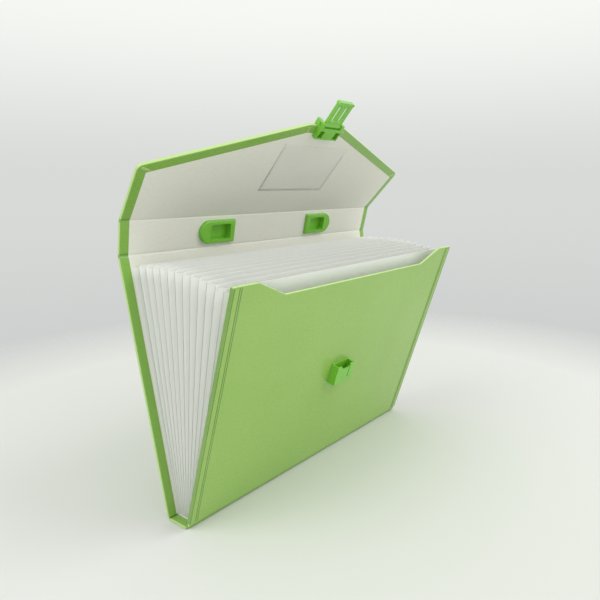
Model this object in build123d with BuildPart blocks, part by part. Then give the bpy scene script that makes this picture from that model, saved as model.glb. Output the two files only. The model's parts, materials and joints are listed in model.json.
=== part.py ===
import os
from math import atan, cos, degrees, radians, sin, tan

from build123d import *

os.makedirs("parts", exist_ok=True)

# Lengths are in millimetres, angles in degrees, a positive lean is to the back

# Cover panels, heights taken from fold axis to fold axis
cover_width = 334.0
front_margin = 2.5
front_top_margin = 7.0
bottom_margin = 1.0
bottom_depth = 24.0
back_height = 230.0
top_depth = 29.0
front_drop = 2.5
cover_thickness = 3.0
front_thickness = 2.4
sheet_thickness = 0.5
turn_in = 8.0
edge_round = 0.8

# Fold strips
fold_radius = 1.5
fold_clearance = 0.2
fold_inset = 0.5

# Stance of the half open folder
pocket_count = 13
lean_step = 1.95
back_steps = 3.5
top_lean = -15.0
flap_lean = -44.0

# Stance of the closed folder, its front upright and its flap hanging a little off it
closed_top_lean = -83.5
closed_flap_tilt = 2.0

# Flap outline
flap_flare = 4.0
flap_corner_height = 54.0
flap_corner_round = 6.0
flap_tip_half = 24.0
flap_tip_height = 104.0
flap_tip_round = 3.0

# Front panel outline
tab_width = 24.0
notch_run = 32.0
notch_depth = 14.5
notch_round = 3.5
tab_round = 1.0

# Binding strips on the sides of the front panel
binding_outside = 9.0
binding_inside = 2.4
binding_thickness = 0.5
binding_start = 5.0

# Pockets
base_film = 0.3
base_margin = 1.8
divider_thickness = 0.3
divider_drop = 10.0
divider_round = 3.0
gusset_margin = 9.5
gusset_rise = 1.0
gusset_film = 0.3
gusset_clearance = 0.05
pleat_depth = 17.0
pleat_depth_floor = 3.3
pleat_slit = 0.08
ridge_clearance = 0.12
divider_end_gap = 0.15

# Card pocket on the flap
card_left = -40.0
card_right = 48.0
card_low = 30.0
card_drop = 21.0
card_seam = 2.0
card_gap = 0.5
card_film = 0.3

# Handle caps, mounts and strap, placed from the middle of the top panel
cap_inner = 51.0
cap_round_centre = 80.5
cap_radius = 10.5
cap_depth = 3.4
cap_edge = 0.9
recess_inner = 56.6
recess_outer = 79.6
recess_height = 13.6
recess_round = 2.0
collar_wall = 0.8
collar_gap = 0.15
mount_depth = 4.7
mount_floor = 0.8
mount_roof = 1.0
mount_cavity_inner = 57.0
mount_cavity_outer = 86.0
mount_cavity_height = 17.0
mount_mouth_height = 13.0
mount_edge = 0.7
peg_side = 3.0
peg_clearance = 0.2
peg_near = 53.5
peg_far = 84.3
peg_reach = 1.8
socket_reach = 2.1
strap_width = 12.0
strap_thickness = 1.8
strap_arch = 6.0
strap_straight_from = 49.0
strap_head_inner = 79.0
strap_head_outer = 85.5
strap_head_width = 16.0

# Clasp on the flap tip
clasp_half = 15.0
clasp_base_drop = 10.5
clasp_base_rise = 4.5
head_gap = 0.2
head_past = 5.4
plate_drop = 14.0
plate_thickness = 1.6
tongue_bay_half = 11.2
tongue_bay_past = 0.8
window_offset = 10.5
window_drop = 5.5
window_width = 6.4
window_tall = 7.0
post_width = 3.6
post_tall = 4.6
post_hole_gap = 0.3
post_reach = 2.2
clasp_edge = 0.6
pin_past = 3.0
pin_rise = 3.2
pin_hole_radius = 1.5
trunnion_radius = 1.3
trunnion_half = 14.4
barrel_radius = 1.9
tongue_half = 10.5
tongue_past = 27.0
tongue_low_face = 2.0
tongue_high_face = 4.4
slot_offset = 4.5
slot_width = 4.5
slot_past = 6.5
slot_margin = 4.0
lip_tall = 2.4
lip_low_face = 1.4
lip_high_face = 5.0
tongue_corner = 1.5

# Catch on the front panel, just below the clasp head of the closed flap
catch_gap = 1.1
catch_tall = 20.7
catch_half = 13.0
catch_bay_half = 11.2
catch_back = 1.2
catch_bay_depth = 6.2
catch_wall = 1.6
catch_dip_half = 8.5
catch_dip_floor_half = 3.5
catch_dip_depth = 4.0
catch_slit_place = 6.2
catch_slit_width = 1.0
catch_slit_low = 5.5
catch_edge = 0.6
catch_peg_offset = 7.0
catch_peg_reach = 1.8
catch_hole_reach = 1.9

overrun = 5.0

# Sizes that follow from the ones above
front_width = cover_width - 2 * front_margin
front_top_half = cover_width / 2 - front_top_margin
bottom_width = cover_width - 2 * bottom_margin
front_height = back_height - front_drop
flap_corner_half = cover_width / 2 + flap_flare
notch_top_half = front_top_half - tab_width
notch_floor_half = notch_top_half - notch_run
base_half_depth = bottom_depth / 2 - base_margin
divider_height = back_height - divider_drop
gusset_half = cover_width / 2 - gusset_margin
gusset_height = divider_height + gusset_rise
handle_height = top_depth / 2
card_high = flap_tip_height - card_drop
clasp_base_low = flap_tip_height - clasp_base_drop
plate_low = flap_tip_height - plate_drop
window_height = flap_tip_height - window_drop
head_high = flap_tip_height + head_past
tongue_bay_low = flap_tip_height + tongue_bay_past
pin_height = flap_tip_height + pin_past
tongue_high = flap_tip_height + tongue_past
slot_low = flap_tip_height + slot_past
slot_high = tongue_high - slot_margin
slot_middle = (slot_low + slot_high) / 2
lip_low = tongue_high - lip_tall
closed_rise = top_depth * cos(radians(closed_top_lean))
closed_hang = head_high * cos(radians(closed_flap_tilt))
catch_high = back_height + closed_rise - closed_hang - catch_gap
catch_low = catch_high - catch_tall


def along(start, lean, length):
    """Point (y, z) at a length up a leaning line."""
    return (start[0] + length * sin(radians(lean)), start[1] + length * cos(radians(lean)))


def leaning(axis, lean):
    """Plane of a leaning panel: x along the fold, y up the panel, z to the front."""
    return Plane(
        origin=(0, axis[0], axis[1]),
        x_dir=(1, 0, 0),
        z_dir=(0, -cos(radians(lean)), sin(radians(lean))),
    )


def block(plane, x_range, y_range, z_range):
    """Box between limits that are taken in the frame of a panel."""
    limits = (x_range, y_range, z_range)
    middle = [(low + high) / 2 for low, high in limits]
    size = [high - low for low, high in limits]
    return plane * Pos(*middle) * Box(*size)


def rod(plane, radius, x_range, y, z):
    """Round bar along the fold direction."""
    end = plane.from_local_coords((x_range[0], y, z))
    return Plane(origin=end, z_dir=(1, 0, 0)) * Cylinder(
        radius, x_range[1] - x_range[0], align=(Align.CENTER, Align.CENTER, Align.MIN)
    )


def polygon(points):
    """Flat outline through corner points."""
    with BuildSketch() as outline:
        with BuildLine():
            Polyline(*points, close=True)
        make_face()
    return outline.sketch


def finish(body, name):
    """Name a piece and write it."""
    body.part.label = name
    export_step(body.part, f"parts/{name}.step")


def panel(name, plane, thickness, outline, lining_outline, inner=1, drill=()):
    """Board with a wrapped cover sheet and a lining let into its inner face."""
    half = thickness / 2
    with BuildPart() as lining:
        with BuildSketch(plane.offset(inner * half)):
            add(lining_outline)
        extrude(amount=-inner * sheet_thickness)
        for hole in drill:
            add(hole, mode=Mode.SUBTRACT)
    with BuildPart() as core:
        with BuildSketch(plane.offset(sheet_thickness - half)):
            add(outline)
            offset(amount=-sheet_thickness, kind=Kind.INTERSECTION, mode=Mode.REPLACE)
        extrude(amount=thickness - 2 * sheet_thickness)
    with BuildPart() as cover:
        with BuildSketch(plane.offset(-half)):
            add(outline)
        extrude(amount=thickness)
        sides = cover.faces().sort_by(Axis(plane.origin, plane.z_dir))
        fillet(sides[0].edges() + sides[-1].edges(), radius=edge_round)
        add(core.part, mode=Mode.SUBTRACT)
        add(lining.part, mode=Mode.SUBTRACT)
        for hole in drill:
            add(hole, mode=Mode.SUBTRACT)
    with BuildPart() as board:
        add(core.part)
        for hole in drill:
            add(hole, mode=Mode.SUBTRACT)
    finish(cover, f"{name}_cover")
    finish(board, f"{name}_board")
    finish(lining, f"{name}_lining")


# Fold axes as (y, z), panel planes
front_steps = pocket_count - back_steps
back_lean = back_steps * lean_step
front_lean = -front_steps * lean_step
fold_height = cover_thickness / 2
back_axis = (bottom_depth / 2, fold_height)
front_axis = (-bottom_depth / 2, fold_height)
top_axis = along(back_axis, back_lean, back_height)
flap_axis = along(top_axis, top_lean, top_depth)
bottom_plane = Plane.XY.offset(fold_height)
back_plane = leaning(back_axis, back_lean)
top_plane = leaning(top_axis, top_lean)
flap_plane = leaning(flap_axis, flap_lean)
front_plane = leaning(front_axis, front_lean)
cover_half = cover_thickness / 2
front_half = front_thickness / 2
moving_start = fold_radius + fold_clearance

# Fold strips, round along each fold axis
fold_strips = (
    ("front_fold_strip", front_axis, front_width),
    ("back_fold_strip", back_axis, bottom_width),
    ("top_fold_strip", top_axis, cover_width),
    ("flap_fold_strip", flap_axis, cover_width),
)
for name, axis, width in fold_strips:
    with BuildPart() as fold_strip:
        with BuildSketch(Plane(origin=(fold_inset - width / 2, axis[0], axis[1]), z_dir=(1, 0, 0))):
            Circle(fold_radius)
        extrude(amount=width - 2 * fold_inset)
    finish(fold_strip, name)

# Bottom panel
bottom_edge = bottom_depth / 2 - fold_radius
with BuildSketch() as bottom_outline:
    Rectangle(bottom_width, 2 * bottom_edge)
with BuildSketch() as bottom_lining_outline:
    Rectangle(bottom_width - 2 * turn_in, 2 * bottom_edge)
panel(
    "bottom", bottom_plane, cover_thickness, bottom_outline.sketch, bottom_lining_outline.sketch
)

# Back panel
back_length = back_height - fold_radius - moving_start
with BuildSketch() as back_outline:
    with Locations((0, moving_start + back_length / 2)):
        Rectangle(cover_width, back_length)
with BuildSketch() as back_lining_outline:
    with Locations((0, moving_start + back_length / 2)):
        Rectangle(cover_width - 2 * turn_in, back_length)
panel("back", back_plane, cover_thickness, back_outline.sketch, back_lining_outline.sketch)

# Top panel with the holes for the handle pegs and the openings behind the handle caps
top_length = top_depth - fold_radius - moving_start
with BuildSketch() as top_outline:
    with Locations((0, moving_start + top_length / 2)):
        Rectangle(cover_width, top_length)
with BuildSketch() as top_lining_outline:
    with Locations((0, moving_start + top_length / 2)):
        Rectangle(cover_width - 2 * turn_in, top_length)
peg_places = [(side * x, handle_height) for side in (-1, 1) for x in (peg_near, peg_far)]
recess_middle = (recess_inner + recess_outer) / 2
recess_places = [(side * recess_middle, handle_height) for side in (-1, 1)]
with BuildSketch() as recess_outline:
    RectangleRounded(recess_outer - recess_inner, recess_height, recess_round)
with BuildSketch() as collar_outline:
    add(recess_outline.sketch)
    offset(amount=collar_wall)
with BuildSketch() as collar_hole:
    add(collar_outline.sketch)
    offset(amount=collar_gap)
with BuildPart() as handle_drill:
    with BuildSketch(top_plane):
        with Locations(*peg_places):
            Rectangle(peg_side + 2 * peg_clearance, peg_side + 2 * peg_clearance)
        with Locations(*recess_places):
            add(collar_hole.sketch)
    extrude(amount=overrun, both=True)
panel(
    "top", top_plane, cover_thickness, top_outline.sketch, top_lining_outline.sketch,
    drill=[handle_drill.part],
)

# Flap, its lining outline runs to the fold
flare = (flap_corner_half - cover_width / 2) / (flap_corner_height - moving_start)
low_start = moving_start - turn_in
low_half = cover_width / 2 - flare * turn_in
with BuildSketch() as flap_outline:
    add(polygon([
        (-cover_width / 2, moving_start), (cover_width / 2, moving_start),
        (flap_corner_half, flap_corner_height), (flap_tip_half, flap_tip_height),
        (-flap_tip_half, flap_tip_height), (-flap_corner_half, flap_corner_height),
    ]))
    corners = flap_outline.vertices().group_by(Axis.Y)
    fillet(corners[-2], radius=flap_corner_round)
    corners = flap_outline.vertices().group_by(Axis.Y)
    fillet(corners[-1], radius=flap_tip_round)
with BuildSketch() as flap_lining_outline:
    add(polygon([
        (-low_half, low_start), (low_half, low_start),
        (flap_corner_half, flap_corner_height), (flap_tip_half, flap_tip_height),
        (-flap_tip_half, flap_tip_height), (-flap_corner_half, flap_corner_height),
    ]))
    offset(amount=-turn_in, kind=Kind.INTERSECTION, mode=Mode.REPLACE)
with BuildPart() as clasp_drill:
    with BuildSketch(flap_plane):
        with Locations((-window_offset, window_height), (window_offset, window_height)):
            Rectangle(post_width + 2 * post_hole_gap, post_tall + 2 * post_hole_gap)
    extrude(amount=overrun, both=True)
panel(
    "flap", flap_plane, cover_thickness, flap_outline.sketch, flap_lining_outline.sketch,
    drill=[clasp_drill.part],
)

# Front panel, a little narrower towards its notched top edge
notch_floor = front_height - notch_depth
front_taper = (front_width / 2 - front_top_half) / (front_height - moving_start)
notch = [
    (notch_top_half, front_height), (notch_floor_half, notch_floor),
    (-notch_floor_half, notch_floor), (-notch_top_half, front_height),
]
with BuildSketch() as front_outline:
    add(polygon([
        (-front_width / 2, moving_start), (front_width / 2, moving_start),
        (front_top_half, front_height), *notch, (-front_top_half, front_height),
    ]))
    tab_middle = front_top_half - tab_width / 2
    inside = [v for v in front_outline.vertices() if abs(v.X) < tab_middle]
    fillet(inside, radius=notch_round)
    tips = [v for v in front_outline.vertices() if v.Y > notch_floor and abs(v.X) > tab_middle]
    fillet(tips, radius=tab_round)
front_low_half = front_width / 2 + front_taper * turn_in
with BuildSketch() as front_lining_outline:
    add(polygon([
        (-front_low_half, low_start), (front_low_half, low_start),
        (front_top_half, front_height), *notch, (-front_top_half, front_height),
    ]))
    offset(amount=-turn_in, kind=Kind.INTERSECTION, mode=Mode.REPLACE)
catch_middle = (catch_low + catch_high) / 2
with BuildPart() as catch_drill:
    with BuildSketch(front_plane.offset(front_half)):
        with Locations((-catch_peg_offset, catch_middle), (catch_peg_offset, catch_middle)):
            Rectangle(peg_side + 2 * peg_clearance, peg_side + 2 * peg_clearance)
    extrude(amount=-catch_hole_reach)
panel(
    "front", front_plane, front_thickness, front_outline.sketch, front_lining_outline.sketch,
    inner=-1, drill=[catch_drill.part],
)

# Binding strips round the side edges of the front panel
binding_turn = degrees(atan(front_taper))
binding_half = front_width / 2 - front_taper * (binding_start - moving_start)
binding_length = (front_height - tab_round - binding_start) / cos(radians(binding_turn))
skin = front_half + binding_thickness
for side, end in ((-1, "left"), (1, "right")):
    across = Vector(1, 0, 0).rotate(Axis((0, 0, 0), front_plane.z_dir), side * binding_turn)
    binding_plane = Plane(
        origin=front_plane.from_local_coords((side * binding_half, binding_start, 0)),
        x_dir=across,
        z_dir=front_plane.z_dir.cross(across),
    )
    rim = side * binding_thickness
    front_lip = -side * binding_outside
    back_lip = -side * binding_inside
    with BuildPart() as binding:
        with BuildSketch(binding_plane):
            add(polygon([
                (front_lip, -front_half), (front_lip, -skin), (rim, -skin), (rim, skin),
                (back_lip, skin), (back_lip, front_half), (0, front_half), (0, -front_half),
            ]))
        extrude(amount=binding_length)
    finish(binding, f"front_binding_{end}")

# Film on the floor of the pockets
with BuildPart() as pocket_base:
    with BuildSketch(Plane.XY.offset(cover_thickness)):
        Rectangle(2 * gusset_half, 2 * base_half_depth)
    extrude(amount=base_film)
finish(pocket_base, "pocket_base")

# Divider pivots, evenly spread between the inner faces of the back and front panels
floor_height = cover_thickness + base_film
pivot_height = floor_height + divider_thickness / 2
leans = [(back_steps - wall) * lean_step for wall in range(pocket_count + 1)]


def wall_place(axis, lean, face, height):
    """Where the inner face of a leaning panel stands at a height."""
    return axis[0] + (height - axis[1]) * tan(radians(lean)) + face / cos(radians(lean))


back_place = wall_place(back_axis, back_lean, -cover_half, pivot_height)
front_place = wall_place(front_axis, front_lean, front_half, pivot_height)
pitch = (back_place - front_place) / pocket_count
pivots = [(back_place - wall * pitch, pivot_height) for wall in range(pocket_count + 1)]

# Dividers with a round lower edge on the pivot axis
divider_half = gusset_half - gusset_film - divider_end_gap
for number in range(1, pocket_count):
    divider_plane = leaning(pivots[number], leans[number])
    edge_place = (-divider_half, pivots[number][0], pivots[number][1])
    with BuildPart() as divider:
        with BuildSketch(divider_plane.offset(-divider_thickness / 2)):
            with Locations((0, divider_height / 2)):
                Rectangle(2 * divider_half, divider_height)
        extrude(amount=divider_thickness)
        upright = divider.edges().filter_by(Axis(divider_plane.origin, divider_plane.z_dir))
        high = upright.sort_by(Axis(divider_plane.origin, divider_plane.y_dir))[-2:]
        fillet(high, radius=divider_round)
        with BuildSketch(Plane(origin=edge_place, z_dir=(1, 0, 0))):
            Circle(divider_thickness / 2)
        extrude(amount=2 * divider_half)
    finish(divider, f"divider_{number}")

# Pleated gussets: flat facets between a zigzag at the floor and one in the plane of their tops
back_top = along(pivots[0], back_lean, gusset_height)
front_top = along(pivots[-1], front_lean, gusset_height)
rise = (back_top[1] - front_top[1]) / (back_top[0] - front_top[0])
chord = Plane(
    origin=(0, front_top[0], front_top[1]),
    x_dir=(1, 0, 0),
    z_dir=Vector(0, -rise, 1).normalized(),
)
floor_plane = Plane.XY.offset(floor_height)


def meets(wall, slope, height):
    """Place (y, z) where a wall line meets a line through y = 0 at a height."""
    pull = tan(radians(leans[wall]))
    start = pivots[wall][0] - pivots[wall][1] * pull
    level = (height + slope * start) / (1 - slope * pull)
    return (start + level * pull, level)


def zigzag(side, places, depth):
    """Corner points of the folded film, back to front, for given wall places and pleat depth."""
    wrap = divider_thickness / 2 + ridge_clearance + gusset_film
    ridge = side * gusset_half
    ridge_inner = side * (gusset_half - gusset_film)
    valley = side * (gusset_half - depth + gusset_film)
    valley_inner = side * (gusset_half - depth)
    start = places[0] - gusset_clearance
    stop = places[-1] + gusset_clearance
    outer = [(ridge, start), (ridge, start - gusset_film)]
    inner = [(ridge_inner, start)]
    for wall in range(pocket_count):
        middle = (places[wall] + places[wall + 1]) / 2
        outer += [(valley, middle + pleat_slit), (valley, middle - pleat_slit)]
        reach = pleat_slit + gusset_film
        inner += [(valley_inner, middle + reach), (valley_inner, middle - reach)]
        if wall + 1 < pocket_count:
            place = places[wall + 1]
            outer += [(ridge, place + wrap), (ridge, place - wrap)]
            hold = wrap - gusset_film
            inner += [(ridge_inner, place + hold), (ridge_inner, place - hold)]
    outer += [(ridge, stop + gusset_film), (ridge, stop)]
    inner += [(ridge_inner, stop)]
    return outer + inner[::-1]


chord_base = front_top[1] - rise * front_top[0]
floor_places = [meets(wall, 0, floor_height)[0] for wall in range(pocket_count + 1)]
chord_points = [meets(wall, rise, chord_base) for wall in range(pocket_count + 1)]
chord_places = [chord.to_local_coords(Vector(0, *point)).Y for point in chord_points]
for side, end in ((-1, "left"), (1, "right")):
    low = [floor_plane.from_local_coords(p) for p in zigzag(side, floor_places, pleat_depth_floor)]
    high = [chord.from_local_coords(p) for p in zigzag(side, chord_places, pleat_depth)]
    facets = [Face(Wire.make_polygon(low)), Face(Wire.make_polygon(high))]
    for near in range(len(low)):
        far = near - 1
        facets.append(Face(Wire.make_polygon([low[near], low[far], high[far]])))
        facets.append(Face(Wire.make_polygon([low[near], high[far], high[near]])))
    with BuildPart() as gusset:
        add(Solid(Shell(facets)))
    finish(gusset, f"gusset_{end}")

# Card pocket of clear film, seamed on three sides
card_width = card_right - card_left
card_tall = card_high - card_low
card_middle = ((card_left + card_right) / 2, (card_low + card_high) / 2)
with BuildPart() as card_pocket:
    with BuildSketch(flap_plane.offset(cover_half)):
        with Locations(card_middle):
            Rectangle(card_width, card_tall)
    extrude(amount=card_gap + card_film)
    with BuildSketch(flap_plane.offset(cover_half)):
        with Locations((card_middle[0], card_middle[1] + card_seam)):
            Rectangle(card_width - 2 * card_seam, card_tall)
    extrude(amount=card_gap, mode=Mode.SUBTRACT)
finish(card_pocket, "card_pocket")

# Handle caps with a collar through the top panel, and mounts with pegs on its outer face
for side, end in ((-1, "left"), (1, "right")):
    with BuildSketch() as handle_outline:
        with Locations((side * (cap_inner + cap_round_centre) / 2, handle_height)):
            Rectangle(cap_round_centre - cap_inner, 2 * cap_radius)
        with Locations((side * cap_round_centre, handle_height)):
            Circle(cap_radius)
    pegs = [(side * peg_near, handle_height), (side * peg_far, handle_height)]
    with BuildPart() as handle_cap:
        with BuildSketch(top_plane.offset(cover_half)):
            add(handle_outline.sketch)
        extrude(amount=cap_depth)
        face = handle_cap.faces().sort_by(Axis(top_plane.origin, top_plane.z_dir))[-1]
        chamfer(face.edges(), length=cap_edge)
        with BuildSketch(top_plane.offset(cover_half)):
            with Locations((side * recess_middle, handle_height)):
                add(collar_outline.sketch)
        extrude(amount=collar_gap - cover_thickness)
        with BuildSketch(top_plane.offset(-cover_half)):
            with Locations((side * recess_middle, handle_height)):
                add(recess_outline.sketch)
        extrude(amount=cover_thickness + cap_depth, mode=Mode.SUBTRACT)
        with BuildSketch(top_plane.offset(cover_half)):
            with Locations(*pegs):
                Rectangle(peg_side + 2 * peg_clearance, peg_side + 2 * peg_clearance)
        extrude(amount=socket_reach, mode=Mode.SUBTRACT)
    finish(handle_cap, f"handle_cap_{end}")
    with BuildPart() as handle_mount:
        with BuildSketch(top_plane.offset(-cover_half)):
            add(handle_outline.sketch)
        extrude(amount=-mount_depth)
        face = handle_mount.faces().sort_by(Axis(top_plane.origin, top_plane.z_dir))[0]
        chamfer(face.edges(), length=mount_edge)
        with BuildSketch(top_plane.offset(-cover_half - mount_floor)):
            with Locations((side * (mount_cavity_inner + mount_cavity_outer) / 2, handle_height)):
                Rectangle(mount_cavity_outer - mount_cavity_inner, mount_cavity_height)
            with Locations((side * (mount_cavity_inner + cap_inner - overrun) / 2, handle_height)):
                Rectangle(mount_cavity_inner - cap_inner + overrun, mount_mouth_height)
        extrude(amount=mount_floor + mount_roof - mount_depth, mode=Mode.SUBTRACT)
        with BuildSketch(top_plane.offset(-cover_half)):
            with Locations(*pegs):
                Rectangle(peg_side, peg_side)
        extrude(amount=cover_thickness + peg_reach)
    finish(handle_mount, f"handle_mount_{end}")

# Carry strap, arched between its mounts, with a wider head at each end
strap_middle = -cover_half - (mount_floor + mount_depth - mount_roof) / 2
strap_near = strap_middle + strap_thickness / 2
strap_far = strap_middle - strap_thickness / 2
strap_plane = Plane(
    origin=top_plane.from_local_coords((0, handle_height, 0)),
    x_dir=(1, 0, 0),
    z_dir=-top_plane.y_dir,
)
with BuildPart() as carry_strap:
    with BuildSketch(strap_plane):
        with BuildLine():
            Polyline(
                (-strap_straight_from, strap_near), (-strap_head_outer, strap_near),
                (-strap_head_outer, strap_far), (-strap_straight_from, strap_far),
            )
            Spline(
                (-strap_straight_from, strap_far), (0, strap_far - strap_arch),
                (strap_straight_from, strap_far), tangents=((1, 0), (1, 0)),
            )
            Polyline(
                (strap_straight_from, strap_far), (strap_head_outer, strap_far),
                (strap_head_outer, strap_near), (strap_straight_from, strap_near),
            )
            Spline(
                (strap_straight_from, strap_near), (0, strap_near - strap_arch),
                (-strap_straight_from, strap_near), tangents=((-1, 0), (-1, 0)),
            )
        make_face()
    extrude(amount=strap_width / 2, both=True)
    with BuildSketch(top_plane.offset(strap_far)):
        for side in (-1, 1):
            with Locations((side * (strap_head_inner + strap_head_outer) / 2, handle_height)):
                Rectangle(strap_head_outer - strap_head_inner, strap_head_width)
    extrude(amount=strap_thickness)
finish(carry_strap, "carry_strap")

# Clasp base on the inner face of the flap, its head stands past the flap tip
clasp_face = cover_half + clasp_base_rise
head_low = flap_tip_height + head_gap
plate_face = -cover_half - plate_thickness
clasp_span = (-clasp_half, clasp_half)
base_body = block(flap_plane, clasp_span, (clasp_base_low, head_low), (cover_half, clasp_face))
head_body = block(flap_plane, clasp_span, (head_low, head_high), (plate_face, clasp_face))
tongue_bay = block(
    flap_plane, (-tongue_bay_half, tongue_bay_half), (tongue_bay_low, head_high + overrun),
    (plate_face - overrun, clasp_face + overrun),
)
pin_span = (-clasp_half - overrun, clasp_half + overrun)
pin_hole = rod(flap_plane, pin_hole_radius, pin_span, pin_height, pin_rise)
with BuildPart() as clasp_base:
    add(base_body)
    add(head_body)
    upper = clasp_base.faces().sort_by(Axis(flap_plane.origin, flap_plane.z_dir))[-1]
    fillet(upper.edges(), radius=clasp_edge)
    add(tongue_bay, mode=Mode.SUBTRACT)
    add(pin_hole, mode=Mode.SUBTRACT)
    with BuildSketch(flap_plane.offset(cover_half)):
        with Locations((-window_offset, window_height), (window_offset, window_height)):
            Rectangle(window_width, window_tall)
    extrude(amount=clasp_base_rise, mode=Mode.SUBTRACT)
finish(clasp_base, "clasp_base")

# Clasp plate on the outer face, with two posts through the flap
with BuildPart() as clasp_plate:
    with BuildSketch(flap_plane.offset(-cover_half)):
        with Locations((0, (plate_low + flap_tip_height) / 2)):
            Rectangle(2 * clasp_half, flap_tip_height - plate_low)
    extrude(amount=-plate_thickness)
    lower = clasp_plate.faces().sort_by(Axis(flap_plane.origin, flap_plane.z_dir))[0]
    fillet(lower.edges(), radius=clasp_edge)
    with BuildSketch(flap_plane.offset(-cover_half)):
        with Locations((-window_offset, window_height), (window_offset, window_height)):
            Rectangle(post_width, post_tall)
    extrude(amount=cover_thickness + post_reach)
finish(clasp_plate, "clasp_plate")

# Clasp tongue on its pin
barrel = rod(flap_plane, barrel_radius, (-tongue_half, tongue_half), pin_height, pin_rise)
trunnions = rod(flap_plane, trunnion_radius, (-trunnion_half, trunnion_half), pin_height, pin_rise)
lip = block(flap_plane, (-tongue_half, tongue_half), (lip_low, tongue_high), (lip_low_face, lip_high_face))
with BuildPart() as clasp_tongue:
    with BuildSketch(flap_plane.offset(tongue_low_face)):
        with Locations((0, (pin_height + tongue_high) / 2)):
            Rectangle(2 * tongue_half, tongue_high - pin_height)
        with Locations((-slot_offset, slot_middle), (slot_offset, slot_middle)):
            SlotOverall(slot_high - slot_low, slot_width, rotation=90, mode=Mode.SUBTRACT)
    extrude(amount=tongue_high_face - tongue_low_face)
    add(lip)
    sides = clasp_tongue.edges().filter_by(Axis(flap_plane.origin, flap_plane.z_dir))
    ends = sides.sort_by(Axis(flap_plane.origin, flap_plane.y_dir))[-2:]
    fillet(ends, radius=tongue_corner)
    add(barrel)
    add(trunnions)
finish(clasp_tongue, "clasp_tongue")

# Catch on the front panel, open above and below, its outer wall dipped and slit
catch_span = (-catch_half, catch_half)
catch_heights = (catch_low, catch_high)
bay_low = front_half + catch_back
bay_high = bay_low + catch_bay_depth
catch_face = bay_high + catch_wall
catch_body = block(front_plane, catch_span, catch_heights, (front_half, catch_face))
catch_bay = block(
    front_plane, (-catch_bay_half, catch_bay_half), (catch_low - overrun, catch_high + overrun),
    (bay_low, bay_high),
)
dip_floor = catch_high - catch_dip_depth
with BuildPart() as catch:
    add(catch_body)
    outer_face = catch.faces().sort_by(Axis(front_plane.origin, front_plane.z_dir))[-1]
    fillet(outer_face.edges(), radius=catch_edge)
    add(catch_bay, mode=Mode.SUBTRACT)
    with BuildSketch(front_plane.offset(bay_high)):
        add(polygon([
            (-catch_dip_floor_half, dip_floor), (catch_dip_floor_half, dip_floor),
            (catch_dip_half, catch_high + edge_round), (-catch_dip_half, catch_high + edge_round),
        ]))
        with Locations((catch_slit_place, catch_low + catch_slit_low)):
            Rectangle(catch_slit_width, catch_tall, align=(Align.CENTER, Align.MIN))
    extrude(amount=catch_wall + overrun, mode=Mode.SUBTRACT)
    with BuildSketch(front_plane.offset(front_half)):
        with Locations((-catch_peg_offset, catch_middle), (catch_peg_offset, catch_middle)):
            Rectangle(peg_side, peg_side)
    extrude(amount=-catch_peg_reach)
finish(catch, "catch")
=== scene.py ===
import json
from math import asin, atan2, cos, degrees, pi, radians, sin, tan

import bmesh
import bpy
from mathutils import Matrix, Vector


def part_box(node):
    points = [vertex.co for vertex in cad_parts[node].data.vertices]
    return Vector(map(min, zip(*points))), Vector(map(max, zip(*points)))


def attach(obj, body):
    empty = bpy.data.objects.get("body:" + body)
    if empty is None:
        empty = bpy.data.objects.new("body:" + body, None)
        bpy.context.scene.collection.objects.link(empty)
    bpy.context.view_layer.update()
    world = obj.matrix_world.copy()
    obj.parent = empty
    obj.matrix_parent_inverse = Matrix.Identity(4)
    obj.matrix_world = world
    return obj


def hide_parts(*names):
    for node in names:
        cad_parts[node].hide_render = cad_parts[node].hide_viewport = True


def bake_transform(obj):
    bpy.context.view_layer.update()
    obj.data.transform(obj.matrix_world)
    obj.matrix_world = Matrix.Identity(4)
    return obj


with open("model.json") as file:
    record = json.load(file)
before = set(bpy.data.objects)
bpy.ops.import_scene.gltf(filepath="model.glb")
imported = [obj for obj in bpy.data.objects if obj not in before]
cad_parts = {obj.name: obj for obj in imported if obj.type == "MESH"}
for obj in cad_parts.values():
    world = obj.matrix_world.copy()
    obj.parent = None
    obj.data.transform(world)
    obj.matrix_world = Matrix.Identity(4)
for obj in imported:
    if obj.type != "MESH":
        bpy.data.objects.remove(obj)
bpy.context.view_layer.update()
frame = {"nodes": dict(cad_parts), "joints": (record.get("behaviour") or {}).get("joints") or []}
MM = 0.001

# Stance and sizes of the folder, lengths in metres and angles in degrees
POCKETS = 13
LEAN_STEP = 1.95
BACK_STEPS = 3.5
FLAP_LEAN = -44.0
COVER_HALF = 1.5 * MM
FRONT_HALF = 1.2 * MM
TURN_IN = 8.0 * MM
SHEET = 0.5 * MM
SIDES = (-1, 1)

JOINTS = {joint["name"]: joint for joint in frame["joints"]}


def axis_of(joint):
    """Place (y, z) of a fold axis."""
    return Vector(JOINTS[joint]["pos_m"]).yz


BACK_AXIS = axis_of("back_fold")
FRONT_AXIS = axis_of("front_fold")
TOP_AXIS = axis_of("top_fold")
FLAP_AXIS = axis_of("flap_fold")


def lean_between(low, high):
    """Lean to the back of the line from one axis to the next, in degrees."""
    return degrees(atan2(high.x - low.x, high.y - low.y))


BACK_LEAN = lean_between(BACK_AXIS, TOP_AXIS)
TOP_LEAN = lean_between(TOP_AXIS, FLAP_AXIS)
FRONT_LEAN = (BACK_STEPS - POCKETS) * LEAN_STEP


def up_of(lean):
    """Direction up a leaning panel."""
    return Vector((0, sin(radians(lean)), cos(radians(lean))))


def out_of(lean):
    """Direction out of the front side of a leaning panel."""
    return Vector((0, -cos(radians(lean)), sin(radians(lean))))


def on_panel(axis, lean, x, height, rise):
    """Point on a panel, from its fold axis, its height and its distance to the front."""
    return Vector((x, axis.x, axis.y)) + up_of(lean) * height + out_of(lean) * rise


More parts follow.
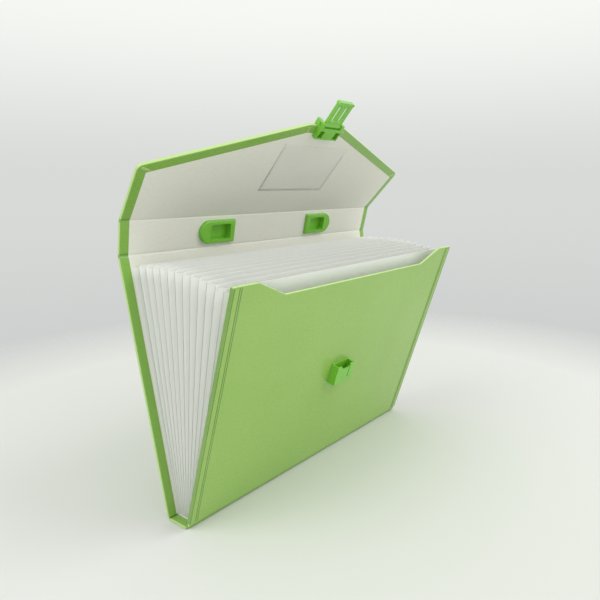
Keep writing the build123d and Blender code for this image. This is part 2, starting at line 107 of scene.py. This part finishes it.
def end_of(side):
    """Name of the end of the folder on a side, -1 or 1."""
    return "left" if side < 0 else "right"


# Colours


def srgb(red, green, blue):
    """Linear colour from display values of 0 to 255."""
    parts = []
    for value in (red, green, blue):
        share = value / 255
        parts.append(share / 12.92 if share <= 0.04045 else ((share + 0.055) / 1.055) ** 2.4)
    return (*parts, 1.0)


# Cover green painted paler for the front panel and its bindings: a painted reflection sheen on
# the same sheet as COVER_GREEN
FRONT_SHEEN_GREEN = srgb(148, 190, 89)
COVER_GREEN = srgb(131, 182, 73)
# Darker green of the painted shade along the folds
CREASE_SHADE_GREEN = srgb(126, 174, 70)
# Darker green of the painted shade on binding faces turned sideways along X
SIDE_SHADE_GREEN = srgb(113, 158, 66)
GREEN_PALE = srgb(172, 205, 118)
# Pale green of the painted highlight on cover faces turned round an edge
RIM_HIGHLIGHT_GREEN = srgb(206, 232, 158)
# Dark green of the painted shade in the binding's pressed grooves
GROOVE_SHADE_GREEN = srgb(96, 134, 58)
BRIGHT_GREEN = srgb(116, 195, 48)
BRIGHT_PALE = srgb(140, 210, 72)
STRAP_GREEN = srgb(104, 180, 48)
LINING_WHITE = srgb(239, 239, 227)
LINING_SHADE = srgb(225, 224, 211)
FILM_WHITE = srgb(249, 251, 246)
PLEAT_WHITE = srgb(245, 247, 242)
FILM_LINE = srgb(252, 253, 250)
BOARD_GREY = srgb(168, 158, 138)
BOARD_FIBRE = srgb(140, 130, 110)
FLOOR_WHITE = srgb(223, 224, 220)

# Sockets of a colour mix node
MIX_SHARE, MIX_BASE, MIX_OVER, MIX_RESULT = 0, 6, 7, 2
# Range that most of a noise falls in, and how far a face turns from flat to rim, over which the
# painted highlight grows
NOISE_RANGE = (0.3, 0.7)
RIM_HIGHLIGHT_RANGE = (0.35, 0.92)


class Shader:
    """A node material with a principled surface and rest-pose coordinates."""

    def __init__(self, name, colour, roughness):
        self.material = bpy.data.materials.new(name)
        self.material.use_nodes = True
        self.tree = self.material.node_tree
        self.surface = self.tree.nodes["Principled BSDF"]
        self.surface.inputs["Base Color"].default_value = colour
        self.surface.inputs["Roughness"].default_value = roughness
        self.place = self.tree.nodes.new("ShaderNodeTexCoord")
        self.coords = self.place.outputs["Object"]
        self.colour = colour
        self.paint = None

    def node(self, kind, **values):
        made = self.tree.nodes.new(kind)
        for key, value in values.items():
            made.inputs[key.replace("_", " ")].default_value = value
        return made

    def link(self, start, end):
        self.tree.links.new(start, end)

    def stretched(self, scale):
        """Coordinates multiplied along each axis."""
        mapping = self.node("ShaderNodeMapping", Scale=scale)
        self.link(self.coords, mapping.inputs["Vector"])
        return mapping.outputs["Vector"]

    def noise(self, scale, detail, coords=None):
        made = self.node("ShaderNodeTexNoise", Scale=scale, Detail=detail)
        self.link(coords or self.coords, made.inputs["Vector"])
        return made.outputs["Fac"]

    def remap(self, factor, low, high, span=NOISE_RANGE):
        """Map the range of a factor to another range."""
        made = self.node(
            "ShaderNodeMapRange", From_Min=span[0], From_Max=span[1], To_Min=low, To_Max=high
        )
        self.link(factor, made.inputs["Value"])
        return made.outputs["Result"]

    def tint(self, share, other):
        """Lay another colour over the paint by a share."""
        mix = self.tree.nodes.new("ShaderNodeMix")
        mix.data_type = "RGBA"
        base, over = mix.inputs[MIX_BASE], mix.inputs[MIX_OVER]
        result = mix.outputs[MIX_RESULT]
        base.default_value = self.colour
        over.default_value = other
        if self.paint:
            self.link(self.paint, base)
        self.link(share, mix.inputs[MIX_SHARE])
        self.link(result, self.surface.inputs["Base Color"])
        self.paint = result

    def bump(self, height, strength, distance):
        made = self.node("ShaderNodeBump", Strength=strength, Distance=distance)
        self.link(height, made.inputs["Height"])
        self.link(made.outputs["Normal"], self.surface.inputs["Normal"])

    def coat(self, weight, roughness):
        self.surface.inputs["Coat Weight"].default_value = weight
        self.surface.inputs["Coat Roughness"].default_value = roughness

    def rough(self, factor, low, high):
        self.link(self.remap(factor, low, high), self.surface.inputs["Roughness"])

    def turned_from(self, direction):
        """How far a face is turned away from a direction of the rest pose, on either side."""
        dot = self.tree.nodes.new("ShaderNodeVectorMath")
        dot.operation = "DOT_PRODUCT"
        dot.inputs[1].default_value = direction
        self.link(self.place.outputs["Normal"], dot.inputs[0])
        size = self.tree.nodes.new("ShaderNodeMath")
        size.operation = "ABSOLUTE"
        self.link(dot.outputs["Value"], size.inputs[0])
        return self.remap(size.outputs["Value"], 1.0, 0.0, RIM_HIGHLIGHT_RANGE)

    def scaled(self, factor, amount):
        made = self.tree.nodes.new("ShaderNodeMath")
        made.operation = "MULTIPLY"
        made.inputs[1].default_value = amount
        self.link(factor, made.inputs[0])
        return made.outputs["Value"]


# Finishes: noises as (scale per metre, detail), bumps as (strength, depth in metres)
COVER_ROUGHNESS = 0.30
COVER_ROUGH_RANGE = (0.24, 0.36)
COVER_COAT = (0.25, 0.14)
COVER_CLOUD = (14.0, 4.0)
COVER_CLOUD_SHARE = 0.22
# Share of the painted rim highlight
COVER_RIM_HIGHLIGHT_SHARE = 0.75
COVER_GRAIN = (1500.0, 2.0)
COVER_BUMP = (0.22, 0.08 * MM)
LINING_ROUGHNESS = 0.62
LINING_ROUGH_RANGE = (0.55, 0.70)
LINING_FIBRE = (260.0, 6.0)
LINING_STRETCH = (1.0, 3.0, 3.0)
LINING_SHADE_SHARE = 0.35
LINING_BUMP = (0.20, 0.10 * MM)
FILM_LINES = (420.0, 3.0)
FILM_STRETCH = (1.0, 0.02, 0.02)
FILM_LINE_SHARE = 0.6
FILM_SMOOTHER = 0.08
FILM_ROUGHER = 0.10
FILM_BUMP = (0.25, 0.10 * MM)
MOULDED_ROUGHNESS = 0.28
MOULDED_ROUGH_RANGE = (0.22, 0.34)
MOULDED_COAT = (0.5, 0.10)
MOULDED_CLOUD = (60.0, 3.0)
MOULDED_CLOUD_SHARE = 0.3
MOULDED_GRAIN = (2600.0, 2.0)
MOULDED_BUMP = (0.12, 0.05 * MM)
BOARD_ROUGHNESS = 0.8
BOARD_NOISE = (320.0, 6.0)
BOARD_FIBRE_SHARE = 0.6
BOARD_BUMP = (0.3, 0.10 * MM)


def cover_material(name, colour, facing=None):
    """Cover sheet with a fine grain, and a painted pale highlight where it turns round an edge.
    """
    shader = Shader(name, colour, COVER_ROUGHNESS)
    shader.coat(*COVER_COAT)
    cloud = shader.noise(*COVER_CLOUD)
    shader.tint(shader.remap(cloud, 0.0, COVER_CLOUD_SHARE), GREEN_PALE)
    if facing:
        # Faces turned from the panel's face get the painted pale highlight
        rim = shader.scaled(shader.turned_from(facing), COVER_RIM_HIGHLIGHT_SHARE)
        shader.tint(rim, RIM_HIGHLIGHT_GREEN)
    grain = shader.noise(*COVER_GRAIN)
    shader.rough(grain, *COVER_ROUGH_RANGE)
    shader.bump(grain, *COVER_BUMP)
    return shader.material


def lining_material():
    """Pale paper-like lining."""
    shader = Shader("lining", LINING_WHITE, LINING_ROUGHNESS)
    fibre = shader.noise(*LINING_FIBRE, shader.stretched(LINING_STRETCH))
    shader.tint(shader.remap(fibre, 0.0, LINING_SHADE_SHARE), LINING_SHADE)
    shader.rough(fibre, *LINING_ROUGH_RANGE)
    shader.bump(fibre, *LINING_BUMP)
    return shader.material


def film_material(name, colour, opacity, roughness):
    """Film with fine upright lines from the extruder."""
    shader = Shader(name, colour, roughness)
    lines = shader.noise(*FILM_LINES, shader.stretched(FILM_STRETCH))
    shader.tint(shader.remap(lines, 0.0, FILM_LINE_SHARE), FILM_LINE)
    shader.rough(lines, roughness - FILM_SMOOTHER, roughness + FILM_ROUGHER)
    shader.bump(lines, *FILM_BUMP)
    shader.surface.inputs["Alpha"].default_value = opacity
    return shader.material


def moulded_material(name, colour):
    """Glossy moulded plastic."""
    shader = Shader(name, colour, MOULDED_ROUGHNESS)
    shader.coat(*MOULDED_COAT)
    cloud = shader.noise(*MOULDED_CLOUD)
    shader.tint(shader.remap(cloud, 0.0, MOULDED_CLOUD_SHARE), BRIGHT_PALE)
    grain = shader.noise(*MOULDED_GRAIN)
    shader.rough(grain, *MOULDED_ROUGH_RANGE)
    shader.bump(grain, *MOULDED_BUMP)
    return shader.material


def board_material():
    """Grey board with loose fibres."""
    shader = Shader("board", BOARD_GREY, BOARD_ROUGHNESS)
    fibre = shader.noise(*BOARD_NOISE)
    shader.tint(shader.remap(fibre, 0.0, BOARD_FIBRE_SHARE), BOARD_FIBRE)
    shader.bump(fibre, *BOARD_BUMP)
    return shader.material


# Crease material carries the painted shade of the folds
CREASE = cover_material("crease", CREASE_SHADE_GREEN)
# Bindings carry the front panel's paler green with its painted reflection sheen
BINDING = cover_material("binding", FRONT_SHEEN_GREEN)
# Binding groove material carries the painted shade of the grooves
GROOVE = cover_material("binding_groove_shade", GROOVE_SHADE_GREEN)
# Binding side material carries the painted shade of the sideways faces
BINDING_SIDE_SHADE = cover_material("binding_side_shade", SIDE_SHADE_GREEN)
FOLDED = cover_material("folded_corner", GREEN_PALE)
LINING = lining_material()
FILM = film_material("film", FILM_WHITE, opacity=0.92, roughness=0.42)
PLEAT_FILM = film_material("pleat_film", PLEAT_WHITE, opacity=0.94, roughness=0.42)
CLEAR = film_material("clear_film", FILM_WHITE, opacity=0.14, roughness=0.18)
MOULDED = moulded_material("moulded", BRIGHT_GREEN)
STRAP = moulded_material("strap", STRAP_GREEN)
BOARD = board_material()


def dress(node, material):
    """Give a CAD node its material."""
    mesh = frame["nodes"][node].data
    mesh.materials.clear()
    mesh.materials.append(material)


PANEL_LEANS = {
    "bottom": -90.0, "back": BACK_LEAN, "top": TOP_LEAN, "flap": FLAP_LEAN, "front": FRONT_LEAN
}
for panel, lean in PANEL_LEANS.items():
    # The front panel's cover gets the paler green with the painted reflection sheen
    colour = FRONT_SHEEN_GREEN if panel == "front" else COVER_GREEN
    # Each cover gets its painted rim highlight on faces turned from its panel's face
    dress(f"{panel}_cover", cover_material(f"{panel}_cover", colour, out_of(lean)))
    dress(f"{panel}_board", BOARD)
    dress(f"{panel}_lining", LINING)
dress("pocket_base", FILM)
dress("card_pocket", CLEAR)
for number in range(1, POCKETS):
    dress(f"divider_{number}", FILM)

# Mesh helpers


def new_piece(name, points, faces, materials):
    """Object from points and faces, all normals outwards."""
    mesh = bpy.data.meshes.new(name)
    mesh.from_pydata([tuple(point) for point in points], [], faces)
    mesh.validate()
    solid = bmesh.new()
    solid.from_mesh(mesh)
    bmesh.ops.recalc_face_normals(solid, faces=solid.faces)
    solid.to_mesh(mesh)
    solid.free()
    for material in materials:
        mesh.materials.append(material)
    for face in mesh.polygons:
        face.use_smooth = True
    made = bpy.data.objects.new(name, mesh)
    bpy.context.scene.collection.objects.link(made)
    return made


def swept(name, rings, materials):
    """Closed tube through rings with the same number of points, capped at both ends."""
    count = len(rings[0])
    points = [point for ring in rings for point in ring]
    faces = []
    for ring in range(len(rings) - 1):
        for corner in range(count):
            after = (corner + 1) % count
            low = ring * count
            high = low + count
            faces.append((low + corner, low + after, high + after, high + corner))
    faces.append(tuple(range(count - 1, -1, -1)))
    last = (len(rings) - 1) * count
    faces.append(tuple(range(last, last + count)))
    return new_piece(name, points, faces, materials)


CRISP_ANGLE = 50


def sharpen(piece, angle=CRISP_ANGLE):
    """Keep edges crisp that turn by more than an angle in degrees."""
    solid = bmesh.new()
    solid.from_mesh(piece.data)
    for edge in solid.edges:
        if len(edge.link_faces) == 2 and edge.calc_face_angle() > radians(angle):
            edge.smooth = False
    solid.to_mesh(piece.data)
    solid.free()


# Moulded fittings: the CAD shape with softened edges

SOFT_EDGE = 0.28 * MM
SOFT_EDGE_SEGMENTS = 3
SOFT_EDGE_ANGLE = 35
WELD_DISTANCE = 0.002 * MM
FLAT_ANGLE = 2


def softened(node, body):
    """Copy of a CAD node with small rounds along its edges, in its place."""
    mesh = frame["nodes"][node].data.copy()
    solid = bmesh.new()
    solid.from_mesh(mesh)
    bmesh.ops.remove_doubles(solid, verts=solid.verts, dist=WELD_DISTANCE)
    bmesh.ops.dissolve_limit(
        solid, angle_limit=radians(FLAT_ANGLE), verts=solid.verts, edges=solid.edges
    )
    solid.to_mesh(mesh)
    solid.free()
    mesh.materials.clear()
    mesh.materials.append(MOULDED)
    for face in mesh.polygons:
        face.use_smooth = True
    piece = bpy.data.objects.new(f"{node}_moulded", mesh)
    bpy.context.scene.collection.objects.link(piece)
    bevel = piece.modifiers.new("soft_edges", "BEVEL")
    bevel.width = SOFT_EDGE
    bevel.segments = SOFT_EDGE_SEGMENTS
    bevel.limit_method = "ANGLE"
    bevel.angle_limit = radians(SOFT_EDGE_ANGLE)
    bevel.harden_normals = False
    weighted = piece.modifiers.new("flat_shading", "WEIGHTED_NORMAL")
    weighted.keep_sharp = False
    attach(piece, body)
    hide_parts(node)


softened("clasp_base", "flap")
softened("clasp_plate", "flap")
softened("clasp_tongue", "clasp_lever")
softened("catch", "front_panel")
for side in SIDES:
    softened(f"handle_cap_{end_of(side)}", "top_panel")
    softened(f"handle_mount_{end_of(side)}", "top_panel")

# Creases: the cover sheet pinched thin along each fold, lined on its inner side, its outer face
# painted a darker green as shade in the fold

CREASE_REACH = 1.75 * MM
CREASE_OUTSIDE = 0.85 * MM
CREASE_PRESS = 0.25 * MM
CREASE_STATIONS = 13
CREASE_INSET = 0.5 * MM
CREASE_SWELL = 1.6
CREASE_LINED_SLOT = 1


def crease(name, node, axis, low, high, half_thickness):
    """Thin web over a fold between two panels, each given as its (up, out) directions."""
    centre = Vector((0, axis.x, axis.y))
    outer_line, inner_line = [], []
    for station in range(CREASE_STATIONS):
        place = 2 * station / (CREASE_STATIONS - 1) - 1
        up = (high if place > 0 else low)[0]
        share = (place + 1) / 2
        facing = (low[1] * (1 - share) + high[1] * share).normalized()
        swell = abs(place) ** CREASE_SWELL
        outside = CREASE_OUTSIDE + (half_thickness - CREASE_OUTSIDE) * swell
        inside = half_thickness - CREASE_PRESS * (1 - swell)
        middle = centre + up * (abs(place) * CREASE_REACH)
        outer_line.append(middle - facing * outside)
        inner_line.append(middle + facing * inside)
    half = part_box(node)[1].x
    lined_half = half + CREASE_INSET - TURN_IN
    stops = (-half, -lined_half, lined_half, half)
    section = outer_line + inner_line[::-1]
    rings = [[point + Vector((stop, 0, 0)) for point in section] for stop in stops]
    piece = swept(name, rings, (CREASE, LINING))
    for face in piece.data.polygons:
        corners = [index % len(section) for index in face.vertices]
        inner = min(corners) >= CREASE_STATIONS and len(corners) == 4
        lined = inner and abs(face.center.x) < lined_half / 2
        if lined:
            face.material_index = CREASE_LINED_SLOT
    sharpen(piece)
    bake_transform(piece)
    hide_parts(node)


UPWARD = Vector((0, 0, 1))
BACKWARD = Vector((0, 1, 0))
crease(
    "crease_back", "back_fold_strip", BACK_AXIS,
    (-BACKWARD, UPWARD), (up_of(BACK_LEAN), out_of(BACK_LEAN)),
    COVER_HALF,
)
crease(
    "crease_front", "front_fold_strip", FRONT_AXIS,
    (BACKWARD, UPWARD), (up_of(FRONT_LEAN), -out_of(FRONT_LEAN)),
    FRONT_HALF,
)
crease(
    "crease_top", "top_fold_strip", TOP_AXIS,
    (-up_of(BACK_LEAN), out_of(BACK_LEAN)), (up_of(TOP_LEAN), out_of(TOP_LEAN)),
    COVER_HALF,
)
crease(
    "crease_flap", "flap_fold_strip", FLAP_AXIS,
    (-up_of(TOP_LEAN), out_of(TOP_LEAN)), (up_of(FLAP_LEAN), out_of(FLAP_LEAN)),
    COVER_HALF,
)

# Binding strips on the front panel, pressed with grooves along them, the grooves painted dark
# green as shade

FRONT_LOW_HALF = 164.5 * MM
FRONT_TOP_HALF = 160.0 * MM
FRONT_HEIGHT = 227.5 * MM
FRONT_START = 1.7 * MM
FRONT_TAPER = (FRONT_LOW_HALF - FRONT_TOP_HALF) / (FRONT_HEIGHT - FRONT_START)
# Grooves as (place from the edge, half width)
BINDING_GROOVES = ((0.9 * MM, 0.55 * MM), (6.0 * MM, 0.45 * MM), (7.9 * MM, 0.45 * MM))
GROOVE_DEPTH = 0.36 * MM
BINDING_OUTSIDE = 9.0 * MM
BINDING_INSIDE = 2.4 * MM
BINDING_START = 5.0 * MM
BINDING_TOP_GAP = 1.0 * MM
BINDING_STEPS = 60
BINDING_CRISP_ANGLE = 40
# How far along X a binding face must turn to get the painted side shade
SHADE_SIDE_FACING = 0.7
GROOVE_SHADE_SLOT = 1
SIDE_SHADE_SLOT = 2


def binding(side):
    """U strip round a side edge of the front panel."""
    end = end_of(side)
    skin = FRONT_HALF + SHEET
    section = []
    pressed = set()
    for step in range(BINDING_STEPS + 1):
        across = BINDING_OUTSIDE * step / BINDING_STEPS
        dip = max(1 - ((across - place) / half) ** 2 for place, half in BINDING_GROOVES)
        if dip > 0:
            pressed.add(step)
        section.append((SHEET - across, skin - GROOVE_DEPTH * max(dip, 0)))
    section += [
        (-BINDING_OUTSIDE, FRONT_HALF), (0, FRONT_HALF), (0, -FRONT_HALF),
        (-BINDING_INSIDE, -FRONT_HALF), (-BINDING_INSIDE, -skin), (SHEET, -skin),
    ]
    rings = []
    for height in (BINDING_START, FRONT_HEIGHT - BINDING_TOP_GAP):
        edge = FRONT_LOW_HALF - FRONT_TAPER * (height - FRONT_START)
        rings.append([
            on_panel(FRONT_AXIS, FRONT_LEAN, side * (edge + out), height, rise)
            for out, rise in section
        ])
    piece = swept(f"binding_{end}", rings, (BINDING, GROOVE, BINDING_SIDE_SHADE))
    for face in piece.data.polygons:
        steps = {index % len(section) for index in face.vertices}
        # Faces in the grooves get the dark painted shade
        if len(steps) == 2 and steps <= pressed:
            face.material_index = GROOVE_SHADE_SLOT
        # Faces turned sideways along X get the darker painted shade
        elif abs(face.normal.x) > SHADE_SIDE_FACING:
            face.material_index = SIDE_SHADE_SLOT
    sharpen(piece, BINDING_CRISP_ANGLE)
    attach(piece, "front_panel")
    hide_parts(f"front_binding_{end}")


for side in SIDES:
    binding(side)

# Folded corners of the turned-in cover on the inner face of the flap

# Corner of the flap and corner of its lining as (x, height) in millimetres
FLAP_CORNERS = (
    ((171.0, 54.0), (159.8, 50.3)), ((24.0, 104.0), (22.8, 96.0)),
)
# Section of a fold as shares of its half width and its ridge
CORNER_SECTION = ((-1, 0), (-0.5, 0.75), (0.2, 1), (0.7, 0.7), (1, 0), (0, -0.2))
CORNER_RIDGE = 0.3 * MM
CORNER_HALF = 1.3 * MM
CORNER_SHORT = 0.28
CORNER_LEAST = 0.25
CORNER_BULGE = (0.1, 0.85)
CORNER_STATIONS = 9


def folded_corner(name, outer, inner):
    """Thin pressed fold that runs over the turn-in from a corner of the lining."""
    start, stop = Vector(inner) * MM, Vector(outer) * MM
    way = stop - start
    side = Vector((-way.y, way.x)).normalized()
    rings = []
    for station in range(CORNER_STATIONS):
        share = (1 - CORNER_SHORT) * station / (CORNER_STATIONS - 1)
        spot = start + way * share
        bulge = sin(pi * (CORNER_BULGE[0] + CORNER_BULGE[1] * share))
        half = CORNER_HALF * (CORNER_LEAST + (1 - CORNER_LEAST) * bulge)
        ring = []
        for across, lift in CORNER_SECTION:
            place = spot + side * (half * across)
            rise = COVER_HALF + CORNER_RIDGE * lift
            ring.append(on_panel(FLAP_AXIS, FLAP_LEAN, place.x, place.y, rise))
        rings.append(ring)
    piece = swept(name, rings, (FOLDED,))
    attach(piece, "flap")


for side in SIDES:
    for number, (outer, inner) in enumerate(FLAP_CORNERS, 1):
        name = f"corner_fold_{end_of(side)}_{number}"
        folded_corner(name, (side * outer[0], outer[1]), (side * inner[0], inner[1]))

# Pleated gussets: soft half pleats of film between the walls of the pockets

GUSSET_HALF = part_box("gusset_right")[1].x
GUSSET_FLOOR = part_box("gusset_right")[0].z
PLEAT_DEPTH = 17.0 * MM
PLEAT_DEPTH_FLOOR = 3.3 * MM
PLEAT_FILM_HALF = 0.13 * MM
PLEAT_COLUMNS = 8
PLEAT_ROWS = 4
PLEAT_HEIGHT = 218.5 * MM
VALLEY_DIP = 2.5 * MM
RIDGE_ROUND = 0.35

PITCH = axis_of("divider_fold_1").x - axis_of("divider_fold_2").x
PIVOT = axis_of("divider_fold_1")
WALLS = []
for wall in range(POCKETS + 1):
    pivot = Vector((PIVOT.x - (wall - 1) * PITCH, PIVOT.y))
    lean = (BACK_STEPS - wall) * LEAN_STEP
    WALLS.append((pivot, lean))


def wall_point(wall, share):
    """Point (y, z) on the line of a wall, from the floor to the top of the pleats."""
    pivot, lean = WALLS[wall]
    pull = tan(radians(lean))
    top = pivot.y + PLEAT_HEIGHT * cos(radians(lean))
    height = GUSSET_FLOOR + (top - GUSSET_FLOOR) * share
    return Vector((pivot.x + (height - pivot.y) * pull, height))


def half_pleat(side, ridge, other):
    """Film from the ridge on one wall to the valley between it and the next wall."""
    rows = []
    for row in range(PLEAT_ROWS + 1):
        share = row / PLEAT_ROWS
        near = wall_point(ridge, share)
        far = wall_point(other, share)
        valley = (near + far) / 2 - Vector((0, VALLEY_DIP * share))
        depth = PLEAT_DEPTH_FLOOR + (PLEAT_DEPTH - PLEAT_DEPTH_FLOOR) * share
        line = []
        for column in range(PLEAT_COLUMNS + 1):
            across = column / PLEAT_COLUMNS
            rounded = (1 - cos(pi * across)) / 2
            inward = across * (1 - RIDGE_ROUND) + rounded * RIDGE_ROUND
            spot = near.lerp(valley, across)
            line.append(Vector((side * (GUSSET_HALF - depth * inward), spot.x, spot.y)))
        rows.append(line)
    away = Vector((0, 1 if ridge < other else -1, 0)) * PLEAT_FILM_HALF
    rings = []
    for line in rows:
        rings.append([point + away for point in line] + [point - away for point in line[::-1]])
    end = end_of(side)
    piece = swept(f"pleat_{end}_{ridge:02d}_{other:02d}", rings, (PLEAT_FILM,))
    sharpen(piece)
    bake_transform(piece)
    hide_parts(f"gusset_{end}")


for side in SIDES:
    for wall in range(POCKETS):
        half_pleat(side, wall, wall + 1)
        half_pleat(side, wall + 1, wall)

# Carry strap in two halves, held in its mounts and bent outwards in the middle

STRAP_WIDTH = 12.0 * MM
STRAP_HEAD_WIDTH = 16.0 * MM
STRAP_HEAD_FROM = 79.0 * MM
STRAP_END = 85.5 * MM
STRAP_STRAIGHT_FROM = 49.0 * MM
STRAP_THICKNESS = 1.8 * MM
STRAP_ARCH = 6.0 * MM
STRAP_MIDDLE = -3.75 * MM
STRAP_HEIGHT = 14.5 * MM
STRAP_STATIONS = 33
# Profile of a face as (share of the half width, share of the half thickness)
STRAP_PROFILE = (
    (-1.0, 0.35), (-0.93, 0.85), (-0.80, 1.0), (-0.42, 1.0), (-0.36, 0.72), (-0.30, 1.0),
    (0.30, 1.0), (0.36, 0.72), (0.42, 1.0), (0.80, 1.0), (0.93, 0.85), (1.0, 0.35),
)


def strap_half(side):
    """Half of the strap with two grooves along its faces and a head in the mount."""
    rings = []
    for station in range(STRAP_STATIONS):
        along = STRAP_END * station / (STRAP_STATIONS - 1)
        bow = min(along / STRAP_STRAIGHT_FROM, 1)
        rise = STRAP_MIDDLE - STRAP_ARCH * (1 + cos(pi * bow)) / 2
        half = (STRAP_HEAD_WIDTH if along > STRAP_HEAD_FROM else STRAP_WIDTH) / 2
        ring = []
        for face in (1, -1):
            for across, depth in STRAP_PROFILE[::face]:
                height = STRAP_HEIGHT + across * half
                lift = rise + face * depth * STRAP_THICKNESS / 2
                ring.append(on_panel(TOP_AXIS, TOP_LEAN, side * along, height, lift))
        rings.append(ring)
    piece = swept(f"strap_{end_of(side)}", rings, (STRAP,))
    sharpen(piece)
    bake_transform(piece)
    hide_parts("carry_strap")


for side in SIDES:
    strap_half(side)

# Floor and light

FLOOR_RADIUS = 0.80
FLOOR_FADE = (0.48, 0.76)
FLOOR_CORNERS = 96
FLOOR_DROP = 0.2 * MM
FLOOR_ROUGHNESS = 0.9
FLOOR_SPECULAR = 0.1
FLOOR_PAPER = (900.0, 4.0)
FLOOR_BUMP = (0.05, 0.10 * MM)
WORLD_WHITE = srgb(250, 251, 249)
WORLD_LIGHT = 0.86
# Painted shade on the seen wall: darkest below the horizon, lightest overhead
WALL_SHADE_TONES = (
    (0.0, srgb(205, 207, 206)), (0.5, srgb(216, 218, 216)), (1.0, srgb(247, 250, 245)),
)
WALL_RANGE = (-0.30, 0.30)
# Lamps as (name, place, size, power)
LAMPS = (("key", (0.7, -1.2, 1.5), 1.2, 11), ("fill", (-1.2, 0.3, 1.6), 1.4, 8))
LAMP_TARGET = Vector((0, 0, 0.12))


def stage():
    """Pale floor that keeps the shadow and fades into a pale wall."""
    rim = [2 * pi * corner / FLOOR_CORNERS for corner in range(FLOOR_CORNERS)]
    mesh = bpy.data.meshes.new("floor")
    corners = [(FLOOR_RADIUS * cos(turn), FLOOR_RADIUS * sin(turn), -FLOOR_DROP) for turn in rim]
    mesh.from_pydata(corners, [], [tuple(range(FLOOR_CORNERS))])
    shader = Shader("floor", FLOOR_WHITE, FLOOR_ROUGHNESS)
    shader.surface.inputs["Specular IOR Level"].default_value = FLOOR_SPECULAR
    shader.bump(shader.noise(*FLOOR_PAPER), *FLOOR_BUMP)
    reach = shader.tree.nodes.new("ShaderNodeVectorMath")
    reach.operation = "LENGTH"
    shader.link(shader.coords, reach.inputs[0])
    fade = shader.remap(reach.outputs["Value"], 1.0, 0.0, FLOOR_FADE)
    shader.link(fade, shader.surface.inputs["Alpha"])
    mesh.materials.append(shader.material)
    floor = bpy.data.objects.new("floor", mesh)
    bpy.context.scene.collection.objects.link(floor)


def surround():
    """Plain light all round, and a pale wall that is only seen, with painted shade that darkens
    it downwards.
    """
    world = bpy.data.worlds.new("surround")
    bpy.context.scene.world = world
    world.use_nodes = True
    tree = world.node_tree
    light = tree.nodes["Background"]
    light.inputs["Color"].default_value = WORLD_WHITE
    light.inputs["Strength"].default_value = WORLD_LIGHT
    seen = tree.nodes.new("ShaderNodeBackground")
    way = tree.nodes.new("ShaderNodeTexCoord")
    split = tree.nodes.new("ShaderNodeSeparateXYZ")
    height = tree.nodes.new("ShaderNodeMapRange")
    height.inputs["From Min"].default_value = WALL_RANGE[0]
    height.inputs["From Max"].default_value = WALL_RANGE[1]
    # Ramp of painted shade on the wall, by the height of the view direction
    wall_shading = tree.nodes.new("ShaderNodeValToRGB")
    wall_shading.color_ramp.interpolation = "EASE"
    ramp = wall_shading.color_ramp.elements
    ramp.new(WALL_SHADE_TONES[1][0])
    for stop, (place, tone) in zip(ramp, WALL_SHADE_TONES):
        stop.position = place
        stop.color = tone
    tree.links.new(way.outputs["Generated"], split.inputs[0])
    tree.links.new(split.outputs["Z"], height.inputs["Value"])
    tree.links.new(height.outputs["Result"], wall_shading.inputs["Fac"])
    tree.links.new(wall_shading.outputs["Color"], seen.inputs["Color"])
    rays = tree.nodes.new("ShaderNodeLightPath")
    share = rays.outputs["Is Camera Ray"]
    for kind in ("Is Glossy Ray", "Is Transmission Ray"):
        most = tree.nodes.new("ShaderNodeMath")
        most.operation = "MAXIMUM"
        tree.links.new(share, most.inputs[0])
        tree.links.new(rays.outputs[kind], most.inputs[1])
        share = most.outputs["Value"]
    mix = tree.nodes.new("ShaderNodeMixShader")
    tree.links.new(share, mix.inputs[0])
    tree.links.new(light.outputs[0], mix.inputs[1])
    tree.links.new(seen.outputs[0], mix.inputs[2])
    tree.links.new(mix.outputs[0], tree.nodes["World Output"].inputs["Surface"])


def lamp(name, place, size, power):
    """Round soft lamp that looks at the folder."""
    data = bpy.data.lights.new(name, "AREA")
    data.shape = "DISK"
    data.size = size
    data.energy = power
    made = bpy.data.objects.new(name, data)
    bpy.context.scene.collection.objects.link(made)
    made.location = place
    made.rotation_mode = "QUATERNION"
    made.rotation_quaternion = (LAMP_TARGET - Vector(place)).to_track_quat("-Z", "Y")


stage()
surround()
for values in LAMPS:
    lamp(*values)

# Camera, its middle and focal length in pixels of the photograph's frame
FRAME_PIXELS = 600
SENSOR = 36.0
FOCAL_PIXELS = 545.2
CAMERA_MIDDLE = (345.0, 355.0)
CAMERA_PLACE = Vector((-406.3, -363.4, 281.9)) * MM
CAMERA_TARGET = Vector((-14.0, -68.8, 130.0)) * MM
CAMERA_ROLL = -0.25
CAMERA_NEAR = 0.01

camera_data = bpy.data.cameras.new("camera")
camera_data.sensor_width = SENSOR
camera_data.lens = FOCAL_PIXELS * SENSOR / FRAME_PIXELS
camera_data.shift_x = (FRAME_PIXELS / 2 - CAMERA_MIDDLE[0]) / FRAME_PIXELS
camera_data.shift_y = (CAMERA_MIDDLE[1] - FRAME_PIXELS / 2) / FRAME_PIXELS
camera_data.clip_start = CAMERA_NEAR
camera = bpy.data.objects.new("camera", camera_data)
bpy.context.scene.collection.objects.link(camera)
camera.location = CAMERA_PLACE
camera.rotation_mode = "QUATERNION"
look = (CAMERA_TARGET - CAMERA_PLACE).to_track_quat("-Z", "Y")
roll = Matrix.Rotation(radians(CAMERA_ROLL), 3, "Z").to_quaternion()
camera.rotation_quaternion = look @ roll
bpy.context.scene.camera = camera

bpy.context.scene.view_settings.view_transform = "Standard"
